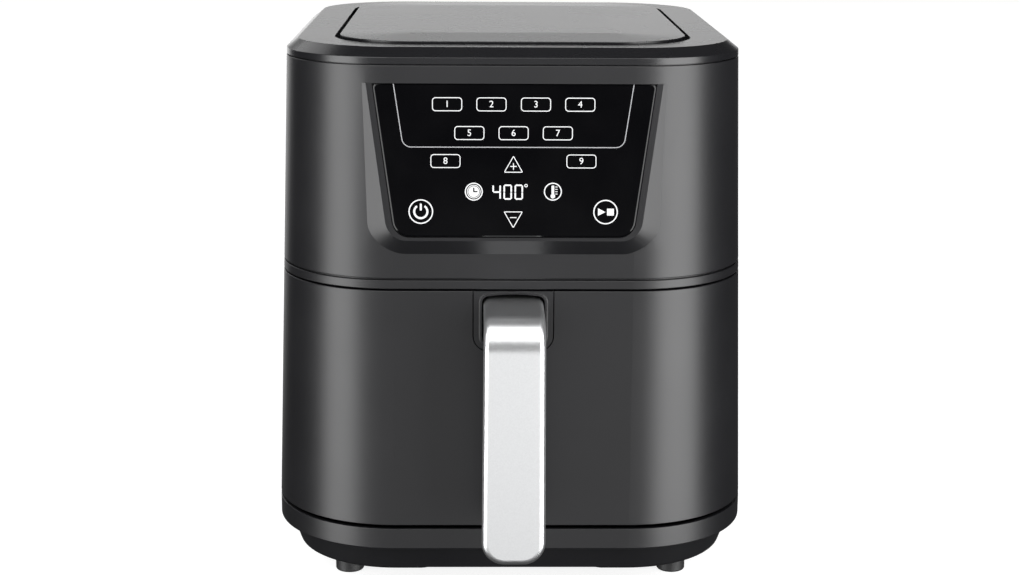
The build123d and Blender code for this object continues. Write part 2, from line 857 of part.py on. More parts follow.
def chamber_outline(grow, mode=Mode.ADD):
    half = chamber_width / 2 + grow
    Polygon(
        (-half, chamber_front), (half, chamber_front), (half, chamber_back + grow), (-half, chamber_back + grow),
        align=None,
        mode=mode,
    )


with BuildPart() as chamber_liner:
    with BuildSketch(level(chamber_bottom)) as liner_plan:
        chamber_outline(0)
        fillet(liner_plan.vertices().group_by(Axis.Y)[-1], chamber_corner)
    extrude(amount=chamber_height)
    with BuildSketch(level(deck_bottom - chamber_sheet)) as liner_flange:
        chamber_outline(chamber_flange)
        fillet(liner_flange.vertices().group_by(Axis.Y)[-1], chamber_corner + chamber_flange)
    extrude(amount=chamber_sheet)
    with BuildSketch(facing_back(chamber_front, chamber_bottom)):
        Rectangle(
            chamber_width + 2 * chamber_flange,
            trim_bottom - chamber_bottom,
            align=(Align.CENTER, Align.MIN),
        )
    extrude(amount=chamber_sheet)
    with BuildSketch(level(chamber_bottom + chamber_sheet)) as liner_room:
        chamber_outline(-chamber_sheet)
        fillet(liner_room.vertices().group_by(Axis.Y)[-1], chamber_corner - chamber_sheet)
    extrude(amount=chamber_height, mode=Mode.SUBTRACT)

# Room inside the basket, one sheet smaller than the basket all round
with BuildPart() as basket_room:
    with BuildSketch(facing_down(basket_top, fan_y)):
        RectangleRounded(
            basket_width - 2 * basket_sheet, basket_depth - 2 * basket_sheet, basket_corner - basket_sheet
        )
    extrude(amount=basket_top - basket_floor, taper=basket_draft)
    fillet(basket_room.edges().group_by(Axis.Z)[0], basket_round - basket_sheet)

# Basket: pressed, drafted bowl with a rim that runs on the rails
with BuildPart() as basket:
    with BuildSketch(facing_down(basket_top, fan_y)):
        RectangleRounded(basket_width, basket_depth, basket_corner)
    extrude(amount=basket_top - basket_bottom, taper=basket_draft)
    fillet(basket.edges().group_by(Axis.Z)[0], basket_round)
    add(basket_room.part, mode=Mode.SUBTRACT)
    with BuildSketch(fan_level(basket_top - rim_thickness)):
        RectangleRounded(basket_width + 2 * rim_width, basket_depth + 2 * rim_width, basket_corner + rim_width)
        RectangleRounded(
            basket_width - basket_sheet, basket_depth - basket_sheet, basket_corner, mode=Mode.SUBTRACT
        )
    extrude(amount=rim_thickness)

# Rails on both chamber walls, under the basket rim
rail_top = basket_top - rim_thickness - slide_gap
rail_length = chamber_depth - chamber_corner - rail_inset
rails = {}
for side_name, side in (("left_rail", -1), ("right_rail", 1)):
    with BuildPart() as rail:
        with BuildSketch(level(rail_top - rail_height)):
            with Locations((side * (chamber_width / 2 - chamber_sheet), chamber_front + rail_inset)):
                Rectangle(rail_width, rail_length, align=(Align.MAX if side > 0 else Align.MIN, Align.MIN))
        extrude(amount=rail_height)
        chamfer(rail.edges().filter_by(Axis.X).group_by(Axis.Y)[0].group_by(Axis.Z)[-1], rail_height / 2)
    rails[side_name] = rail

# Angle that hangs the basket rim on the drawer back panel
hanger_top = basket_top - rim_thickness
with BuildPart() as pan_hanger:
    with BuildSketch(level(hanger_top - hanger_sheet)):
        with Locations((0, back_rear)):
            Rectangle(hanger_width, hanger_foot, align=(Align.CENTER, Align.MIN))
    extrude(amount=hanger_sheet)
    with BuildSketch(level(hanger_top - hanger_leg)):
        with Locations((0, back_rear)):
            Rectangle(hanger_width, hanger_sheet, align=(Align.CENTER, Align.MIN))
            Rectangle(hanger_relief, hanger_sheet, align=(Align.CENTER, Align.MIN), mode=Mode.SUBTRACT)
    extrude(amount=hanger_leg)

# Crisper plate: slotted tray plate with a finger eye, standing on four silicone bumpers
crisper_bottom = basket_floor + crisper_lift
with BuildPart() as crisper_plate:
    with BuildSketch(fan_level(crisper_bottom)):
        RectangleRounded(crisper_width, crisper_depth, crisper_corner)
        Circle(crisper_eye, mode=Mode.SUBTRACT)
        with PolarLocations(crisper_inner_radius, crisper_inner_slots):
            SlotOverall(crisper_slot_length, crisper_slot_width, mode=Mode.SUBTRACT)
        with PolarLocations(crisper_outer_radius, crisper_outer_slots):
            SlotOverall(crisper_slot_length, crisper_slot_width, mode=Mode.SUBTRACT)
        with GridLocations(crisper_width - 2 * bumper_inset, crisper_depth - 2 * bumper_inset, 2, 2):
            Circle(bumper_stem + fit, mode=Mode.SUBTRACT)
    extrude(amount=crisper_thickness)

bumpers = {}
bumper_index = 0
for row_side in (-1, 1):
    for column_side in (-1, 1):
        bumper_index += 1
        bumper_x = column_side * (crisper_width / 2 - bumper_inset)
        bumper_y = body_y + fan_y + row_side * (crisper_depth / 2 - bumper_inset)
        with BuildPart() as bumper:
            with BuildSketch(Plane(origin=(bumper_x, bumper_y, basket_floor + fit))):
                Circle(bumper_radius)
            extrude(amount=crisper_lift - fit)
            fillet(bumper.edges().group_by(Axis.Z)[0], bumper_radius / 4)
            with BuildSketch(Plane(origin=(bumper_x, bumper_y, crisper_bottom))):
                Circle(bumper_stem)
            extrude(amount=crisper_thickness)
            with BuildSketch(Plane(origin=(bumper_x, bumper_y, crisper_bottom + crisper_thickness))):
                Circle(bumper_cap)
            extrude(amount=bumper_cap_height)
        bumpers[f"crisper_bumper_{bumper_index}"] = bumper

# Heater hood: spun sheet dish over the chamber, with an outlet at the back
element_z = trim_top + element_rise
element_end = element_start + (element_arcs - 1) * element_step
leg_places = ((element_start, 0), (-element_end, 0))
fan_axis = Axis((0, body_y + fan_y, 0), (0, 0, 1))
with BuildPart() as heater_hood:
    with BuildSketch(facing_front(fan_y, trim_top)):
        with BuildLine():
            inside = FilletPolyline(
                (hood_radius + hood_flange, 0),
                (hood_radius, 0),
                (hood_top_radius, hood_height),
                (0, hood_height),
                radius=hood_round,
            )
            outside = FilletPolyline(
                (hood_radius + hood_flange, hood_sheet),
                (hood_radius + hood_sheet, hood_sheet),
                (hood_top_radius + hood_sheet, hood_height + hood_sheet),
                (0, hood_height + hood_sheet),
                radius=hood_round,
            )
            Line(inside @ 0, outside @ 0)
            Line(inside @ 1, outside @ 1)
        make_face()
    revolve(axis=fan_axis)
    with BuildSketch(fan_level(hood_top)):
        Circle(hood_bore)
        with Locations(*leg_places):
            Circle(bush_radius + fit)
        with PolarLocations(sensor_reach, 1, start_angle=sensor_turn):
            Circle(sensor_radius + fit)
    extrude(amount=hood_sheet, mode=Mode.SUBTRACT)
    with BuildSketch(facing_back(fan_y, outlet_z)):
        Rectangle(outlet_width - 2 * duct_sheet, outlet_height - 2 * duct_sheet)
    extrude(amount=body_depth, mode=Mode.SUBTRACT)

# Exhaust duct from the hood wall to the outlet grille
with BuildPart() as exhaust_duct:
    with BuildSketch(outlet_face.offset(-slat_depth - fit)):
        Rectangle(outlet_width, outlet_height)
        Rectangle(outlet_width - 2 * duct_sheet, outlet_height - 2 * duct_sheet, mode=Mode.SUBTRACT)
    extrude(amount=body_depth / 2 - hood_top_radius / 2, dir=(0, -1, 0))
    with BuildSketch(facing_front(fan_y, trim_top)):
        Polygon(
            (0, hood_sheet),
            (hood_radius + hood_sheet + fit, hood_sheet),
            (hood_top_radius + hood_sheet + fit, hood_height + hood_sheet),
            (0, hood_height + hood_sheet),
            align=None,
        )
    revolve(axis=fan_axis, mode=Mode.SUBTRACT)

# Element guard: concentric rings and spokes lying on the edge of the deck opening
with BuildPart() as element_guard:
    with BuildSketch(fan_level(trim_top)):
        Circle(guard_radius)
        Circle(guard_radius - guard_width, mode=Mode.SUBTRACT)
        for ring_radius in guard_rings:
            Circle(ring_radius)
            Circle(ring_radius - guard_bar, mode=Mode.SUBTRACT)
        with PolarLocations(guard_radius / 2, guard_spokes):
            Rectangle(guard_radius - guard_width, guard_bar)
    extrude(amount=guard_bar)

# Heating element: tube wound in half turns of growing radius, with both ends rising through the hood
element_tip = hood_roof + 2 * bush_height
with BuildPart() as heating_element:
    with BuildLine(fan_level(element_z)) as winding:
        heading = 1
        turn = JernArc((element_start, 0), (0, heading), element_start, 180)
        for index in range(1, element_arcs):
            heading = -heading
            turn = JernArc(turn @ 1, (0, heading), element_start + index * element_step, 180)
    with BuildSketch(Plane(winding.line @ 0, z_dir=winding.line % 0)):
        Circle(element_tube)
    sweep()
    with BuildSketch(fan_level(element_z)):
        with Locations(*leg_places):
            Circle(element_tube)
    extrude(amount=element_tip - element_z)
    with Locations(fan_level(element_z)):
        with Locations(*leg_places):
            Sphere(element_tube)

# Ceramic bushes that hold the element ends in the hood
with BuildPart() as element_bushes:
    with BuildSketch(fan_level(hood_top - bush_height / 2)):
        with Locations(*leg_places):
            Circle(bush_radius)
    extrude(amount=bush_height)
    with BuildSketch(fan_level(hood_roof)):
        with Locations(*leg_places):
            Circle(bush_radius + bush_height / 3)
    extrude(amount=bush_height)
    with BuildSketch(fan_level(hood_top - bush_height)):
        with Locations(*leg_places):
            Circle(element_tube + running_gap)
    extrude(amount=3 * bush_height, mode=Mode.SUBTRACT)

# Fan shaft with the hot-air fan, its nut and the cooling fan
hot_fan_top = hood_top - hot_fan_drop
hot_fan_bottom = hot_fan_top - hot_fan_height
shaft_bottom = hot_fan_bottom - nut_height - fan_sheet
shaft_top = bracket_top + motor_height / 2
with BuildPart() as fan_shaft:
    with BuildSketch(fan_level(shaft_bottom)):
        Circle(shaft_radius)
    extrude(amount=shaft_top - shaft_bottom)
    chamfer(fan_shaft.edges().group_by(Axis.Z)[0], fan_sheet / 2)

blade_length = hot_fan_radius - fan_hub_radius
with BuildPart() as hot_air_fan:
    with BuildSketch(fan_level(hot_fan_bottom)):
        Circle(fan_hub_radius)
    extrude(amount=hot_fan_height)
    with BuildSketch(fan_level(hot_fan_top - fan_sheet)):
        Circle(hot_fan_radius)
    extrude(amount=fan_sheet)
    with BuildSketch(fan_level(hot_fan_bottom)):
        with PolarLocations((hot_fan_radius + fan_hub_radius) / 2, hot_fan_blades):
            Rectangle(blade_length, fan_sheet, rotation=blade_lean)
    extrude(amount=hot_fan_height)
    with BuildSketch(fan_level(hot_fan_bottom)):
        Circle(shaft_radius + running_gap)
    extrude(amount=hot_fan_height, mode=Mode.SUBTRACT)

with BuildPart() as fan_nut:
    with BuildSketch(fan_level(hot_fan_bottom - nut_height)):
        RegularPolygon(nut_width / 2, 6, major_radius=False)
        Circle(shaft_radius + running_gap, mode=Mode.SUBTRACT)
    extrude(amount=nut_height)

cool_fan_bottom = hood_roof + cool_fan_lift
with BuildPart() as cooling_fan:
    with BuildSketch(fan_level(cool_fan_bottom)):
        Circle(fan_hub_radius)
    extrude(amount=cool_fan_height)
    with Locations(fan_level(cool_fan_bottom + cool_fan_height / 2)):
        with PolarLocations((cool_fan_radius + shaft_radius) / 2, cool_fan_blades):
            Box(
                cool_fan_radius - shaft_radius, cool_blade_width, cool_blade_sheet, rotation=(cool_blade_pitch, 0, 0)
            )
    with BuildSketch(fan_level(cool_fan_bottom)):
        Circle(shaft_radius + running_gap)
    extrude(amount=cool_fan_height, mode=Mode.SUBTRACT)

# Motor on its bracket above the hood, with a bush for the shaft
plate_bottom = bracket_top - bracket_sheet
with BuildPart() as motor_bracket:
    with BuildSketch(fan_level(plate_bottom)):
        Circle(motor_radius)
        with PolarLocations(bracket_radius / 2, bracket_arms, start_angle=bracket_turn):
            Rectangle(bracket_radius, bracket_arm)
        Circle(motor_bush_radius + fit, mode=Mode.SUBTRACT)
        with PolarLocations(motor_screw_reach, 2):
            Circle(screw_radius + fit, mode=Mode.SUBTRACT)
    extrude(amount=bracket_sheet)
    with BuildSketch(fan_level(hood_roof)):
        with PolarLocations(bracket_radius - bracket_sheet / 2, bracket_arms, start_angle=bracket_turn):
            Rectangle(bracket_sheet, bracket_arm)
    extrude(amount=bracket_height)
    with BuildSketch(fan_level(hood_roof)):
        foot_circle = bracket_radius + bracket_leg / 2 - bracket_sheet
        with PolarLocations(foot_circle, bracket_arms, start_angle=bracket_turn):
            Rectangle(bracket_leg, bracket_arm)
    extrude(amount=bracket_sheet)

with BuildPart() as motor_bush:
    with BuildSketch(fan_level(plate_bottom - motor_bush_height)):
        Circle(motor_bush_flange)
    extrude(amount=motor_bush_height)
    with BuildSketch(fan_level(plate_bottom)):
        Circle(motor_bush_radius)
    extrude(amount=bracket_sheet)
    with BuildSketch(fan_level(plate_bottom - motor_bush_height)):
        Circle(shaft_radius + running_gap)
    extrude(amount=motor_bush_height + bracket_sheet, mode=Mode.SUBTRACT)

with BuildPart() as motor:
    with BuildSketch(fan_level(bracket_top)):
        Circle(motor_radius)
    extrude(amount=motor_height)
    fillet(motor.edges().group_by(Axis.Z)[-1], motor_round)
    with BuildSketch(fan_level(bracket_top + motor_height)):
        Circle(motor_cap_radius)
    extrude(amount=motor_cap_height)
    with BuildSketch(fan_level(bracket_top)):
        Circle(shaft_radius + motor_bore_gap)
    extrude(amount=motor_height / 2 + motor_bore_gap, mode=Mode.SUBTRACT)
    with BuildSketch(fan_level(bracket_top)):
        with PolarLocations(motor_screw_reach, 2):
            Circle(screw_radius + running_gap)
    extrude(amount=boss_height, mode=Mode.SUBTRACT)

with BuildPart() as motor_screws:
    with BuildSketch(fan_level(plate_bottom - screw_head_height)):
        with PolarLocations(motor_screw_reach, 2):
            Circle(screw_head_radius)
    extrude(amount=screw_head_height)
    with BuildSketch(fan_level(plate_bottom)):
        with PolarLocations(motor_screw_reach, 2):
            Circle(screw_radius)
    extrude(amount=bracket_sheet + boss_height / 2)

# Power board on the deck posts, with its three large components
power_z = trim_top + power_post_height
power_top = power_z + board_thickness
power_middle = (-power_board_x, power_board_y)
with BuildPart() as power_board:
    with BuildSketch(level(power_z)):
        with Locations(power_middle):
            Rectangle(power_board_width, power_board_depth)
    extrude(amount=board_thickness)


def on_power_board(x, y):
    return Plane(origin=(power_middle[0] + x, body_y + power_middle[1] + y, power_top))


with BuildPart() as relay:
    with BuildSketch(on_power_board(relay_size[0] / 2 - power_board_width / 2, -power_board_depth / 4)):
        Rectangle(relay_size[0], relay_size[1])
    extrude(amount=relay_size[2])
    fillet(relay.edges().filter_by(Axis.Z), board_thickness / 2)

with BuildPart() as transformer:
    with BuildSketch(on_power_board(power_board_width / 2 - transformer_size[0] / 2, 0)):
        Rectangle(transformer_size[0], transformer_size[1])
    extrude(amount=transformer_size[2])
    chamfer(transformer.edges().group_by(Axis.Z)[-1], board_thickness / 2)

with BuildPart() as capacitor:
    with BuildSketch(on_power_board(relay_size[0] / 2 - power_board_width / 2, power_board_depth / 4)):
        Circle(capacitor_radius)
    extrude(amount=capacitor_height)
    fillet(capacitor.edges().group_by(Axis.Z)[-1], board_thickness / 2)

# Temperature sensor through the hood and thermal fuse on it
with BuildPart() as temperature_sensor:
    with BuildSketch(fan_level(hood_roof)):
        with PolarLocations(sensor_reach, 1, start_angle=sensor_turn):
            Circle(sensor_head_radius)
    extrude(amount=sensor_head_height)
    with BuildSketch(fan_level(hood_roof - sensor_depth)):
        with PolarLocations(sensor_reach, 1, start_angle=sensor_turn):
            Circle(sensor_radius)
    extrude(amount=sensor_depth)

fuse_y = body_y + fan_y + hood_top_radius - fuse_inset
with BuildPart() as thermal_fuse:
    with BuildSketch(Plane(origin=(0, fuse_y, hood_roof))):
        Rectangle(fuse_length, fuse_width)
    extrude(amount=fuse_base)
    with BuildSketch(Plane(origin=(-fuse_length / 2, fuse_y, hood_roof + fuse_base), z_dir=(1, 0, 0))):
        Circle(fuse_radius)
    extrude(amount=fuse_length)

# Drawer sensing: reed switch behind the front wall and magnet inside the drawer wing
reed_z = drawer_top - reed_drop
with BuildPart() as reed_switch:
    with BuildSketch(level(reed_z - reed_size[2] / 2)):
        with Locations((chamber_width / 2 + fit, chamber_front + chamber_sheet)):
            Rectangle(reed_size[0], reed_size[1], align=(Align.MIN, Align.MIN))
    extrude(amount=reed_size[2])
    fillet(reed_switch.edges().filter_by(Axis.Z), board_thickness / 2)

wing_inside = body_width / 2 - inset_at(reed_z + magnet_size[2] / 2) - drawer_wall - fit
with BuildPart() as drawer_magnet:
    with BuildSketch(level(reed_z - magnet_size[2] / 2)):
        with Locations((wing_inside, split_y - split_gap - fit)):
            Rectangle(magnet_size[0], magnet_size[1], align=(Align.MAX, Align.MAX))
    extrude(amount=magnet_size[2])

pieces = {
    "base": base,
    **feet,
    "foot_screws": foot_screws,
    "lower_housing": lower_housing,
    "cord_gland": cord_gland,
    "mid_frame": mid_frame,
    "upper_housing": upper_housing,
    "control_glass": control_glass,
    "light_guide": light_guide,
    "display_board": display_board,
    "rear_grille": rear_grille,
    "top_cover": top_cover,
    "top_panel": top_panel,
    "drawer_front": drawer_front,
    "drawer_back": drawer_back,
    "escutcheon": escutcheon,
    "handle_cover": handle_cover,
    "handle_core": handle_core,
    "handle_screws": handle_screws,
    "chamber_liner": chamber_liner,
    "basket": basket,
    **rails,
    "pan_hanger": pan_hanger,
    "crisper_plate": crisper_plate,
    **bumpers,
    "heater_hood": heater_hood,
    "exhaust_duct": exhaust_duct,
    "element_guard": element_guard,
    "heating_element": heating_element,
    "element_bushes": element_bushes,
    "fan_shaft": fan_shaft,
    "hot_air_fan": hot_air_fan,
    "fan_nut": fan_nut,
    "cooling_fan": cooling_fan,
    "motor_bracket": motor_bracket,
    "motor_bush": motor_bush,
    "motor": motor,
    "motor_screws": motor_screws,
    "power_board": power_board,
    "relay": relay,
    "transformer": transformer,
    "capacitor": capacitor,
    "temperature_sensor": temperature_sensor,
    "thermal_fuse": thermal_fuse,
    "reed_switch": reed_switch,
    "drawer_magnet": drawer_magnet,
}

os.makedirs("parts", exist_ok=True)
for name, piece in pieces.items():
    piece.part.label = name
    export_step(piece.part, f"parts/{name}.step")
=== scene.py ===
import bpy
import math
from mathutils import Matrix, Vector


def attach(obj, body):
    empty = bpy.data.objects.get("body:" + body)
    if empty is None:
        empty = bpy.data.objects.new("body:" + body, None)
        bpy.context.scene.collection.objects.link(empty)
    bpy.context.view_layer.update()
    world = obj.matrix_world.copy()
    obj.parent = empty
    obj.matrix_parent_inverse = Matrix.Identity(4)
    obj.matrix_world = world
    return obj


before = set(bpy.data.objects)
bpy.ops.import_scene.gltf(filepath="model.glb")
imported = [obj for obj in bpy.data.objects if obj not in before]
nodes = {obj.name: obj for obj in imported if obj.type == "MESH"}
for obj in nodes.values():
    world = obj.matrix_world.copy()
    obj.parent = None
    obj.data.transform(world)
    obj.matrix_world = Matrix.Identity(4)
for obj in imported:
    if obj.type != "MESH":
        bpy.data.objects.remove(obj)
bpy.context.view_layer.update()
print("frame loaded:", len(nodes), "nodes")

mmPerMetre = 1000
noiseSpan = (0.3, 0.7)  # most of a noise lies between these
patchDetail = 3.0  # layers of noise in patches and streaks
grainDetail = 2.0  # and in the finer grain
plainShine = 0.5  # Blender's own specular level


def linear(hexColour):  # by the sRGB curve
    parts = [int(hexColour[i:i + 2], 16) / 255 for i in (1, 3, 5)]
    return tuple(p / 12.92 if p <= 0.04045 else ((p + 0.055) / 1.055) ** 2.4 for p in parts) + (1.0,)


def perMetre(millimetres):  # scale of a pattern with features of this size
    return mmPerMetre / millimetres


def addNode(tree, kind, settings, links):
    node = tree.nodes.new(kind)
    for key, value in settings.items():
        if isinstance(key, int) or key in node.inputs:
            node.inputs[key].default_value = value
        else:
            setattr(node, key, value)
    for key, source in links.items():
        tree.links.new(source, node.inputs[key])
    return node


def startMaterial(name, shaderValues):
    material = bpy.data.materials.new(name)
    material.use_nodes = True
    tree = material.node_tree
    shader = tree.nodes["Principled BSDF"]
    for key, value in shaderValues.items():
        shader.inputs[key].default_value = value
    place = addNode(tree, "ShaderNodeTexCoord", {}, {}).outputs["Object"]
    return material, tree, shader, place


# Two close tones that drift with a pattern, so that no surface is one flat colour
def driftColour(tree, shader, look, pattern):
    drift = addNode(tree, "ShaderNodeValToRGB", {}, {"Fac": pattern})
    for stop, position, tone in zip(drift.color_ramp.elements, noiseSpan, ("colour", "lighter")):
        stop.position = position
        stop.color = linear(look[tone])
    tree.links.new(drift.outputs["Color"], shader.inputs["Base Color"])


# Gloss that drifts with one pattern over the relief of another
def driftGloss(tree, shader, look, pattern, relief):
    gloss = addNode(tree, "ShaderNodeMapRange", {
        "From Min": noiseSpan[0], "From Max": noiseSpan[1],
        "To Min": look["roughness"], "To Max": look["roughness"] + look["spread"]}, {"Value": pattern})
    tree.links.new(gloss.outputs["Result"], shader.inputs["Roughness"])
    bump = addNode(tree, "ShaderNodeBump", {
        "Strength": look["grainStrength"], "Distance": look["grainDepthMm"] / mmPerMetre},
        {"Height": relief})
    tree.links.new(bump.outputs["Normal"], shader.inputs["Normal"])


# Plastic, rubber, glass over ink and glaze: slow changes of tone and gloss over a fine grain.
# Mould grain is 0.1 to 0.2 mm, too fine to show in the render, so grainMm draws it coarser.
def throughColoured(name, look):
    material, tree, shader, place = startMaterial(name, {
        "IOR": 1.5, "Metallic": 0.0, "Specular IOR Level": look.get("shine", plainShine)})
    patch = addNode(tree, "ShaderNodeTexNoise", {
        "Scale": perMetre(look["patchMm"]), "Detail": patchDetail}, {"Vector": place})
    grain = addNode(tree, "ShaderNodeTexNoise", {
        "Scale": perMetre(look["grainMm"]), "Detail": grainDetail}, {"Vector": place})
    driftColour(tree, shader, look, patch.outputs["Fac"])
    driftGloss(tree, shader, look, patch.outputs["Fac"], grain.outputs["Fac"])
    return material


# Rolled, stamped, plated or blasted metal: its marks show in tone, gloss and relief at once.
# The real marks are about 0.1 mm across, too fine to show, so streakMm draws them coarser.
def workedMetal(name, look):
    material, tree, shader, place = startMaterial(name, {"Metallic": 1.0})
    stretch = addNode(tree, "ShaderNodeMapping", {
        "Scale": tuple(perMetre(size) for size in look["streakMm"])}, {"Vector": place})
    streak = addNode(tree, "ShaderNodeTexNoise", {
        "Scale": 1.0, "Detail": patchDetail}, {"Vector": stretch.outputs["Vector"]})
    driftColour(tree, shader, look, streak.outputs["Fac"])
    driftGloss(tree, shader, look, streak.outputs["Fac"], streak.outputs["Fac"])
    return material


# Fluoropolymer coating with mica: pale specks in the colour, orange peel in the relief, both drawn coarser
def speckledCoating(name, look):
    material, tree, shader, place = startMaterial(name, {"IOR": 1.45, "Metallic": 0.0})
    cells = addNode(tree, "ShaderNodeTexVoronoi", {
        "Scale": perMetre(look["speckPitchMm"])}, {"Vector": place})
    speck = addNode(tree, "ShaderNodeMapRange", {
        "From Min": look["speckSize"], "From Max": look["speckSize"] * look["speckCore"]},
        {"Value": cells.outputs["Distance"]})
    colour = addNode(tree, "ShaderNodeMix", {  # its colours are inputs 6 and 7, and output 2
        "data_type": "RGBA", 6: linear(look["colour"]), 7: linear(look["speck"])},
        {0: speck.outputs["Result"]})
    tree.links.new(colour.outputs[2], shader.inputs["Base Color"])
    patch = addNode(tree, "ShaderNodeTexNoise", {
        "Scale": perMetre(look["patchMm"]), "Detail": patchDetail}, {"Vector": place})
    orangePeel = addNode(tree, "ShaderNodeTexNoise", {
        "Scale": perMetre(look["grainMm"]), "Detail": grainDetail}, {"Vector": place})
    driftGloss(tree, shader, look, patch.outputs["Fac"], orangePeel.outputs["Fac"])
    return material


# Window in the black ink, lit from behind: even white with a slightly dimmer mottle. The grey divider print
# uses it too, weaker, as a painted glow with nothing lit behind it.
def litPrint(name, look):
    material, tree, shader, place = startMaterial(name, {
        "Base Color": linear(look["base"]), "Roughness": look["roughness"],
        "Emission Strength": look["strength"]})
    mottle = addNode(tree, "ShaderNodeTexNoise", {"Scale": perMetre(look["mottleMm"])}, {"Vector": place})
    colour = addNode(tree, "ShaderNodeMix", {
        "data_type": "RGBA", 6: linear(look["dim"]), 7: linear(look["bright"])}, {0: mottle.outputs["Fac"]})
    tree.links.new(colour.outputs[2], shader.inputs["Emission Color"])
    return material


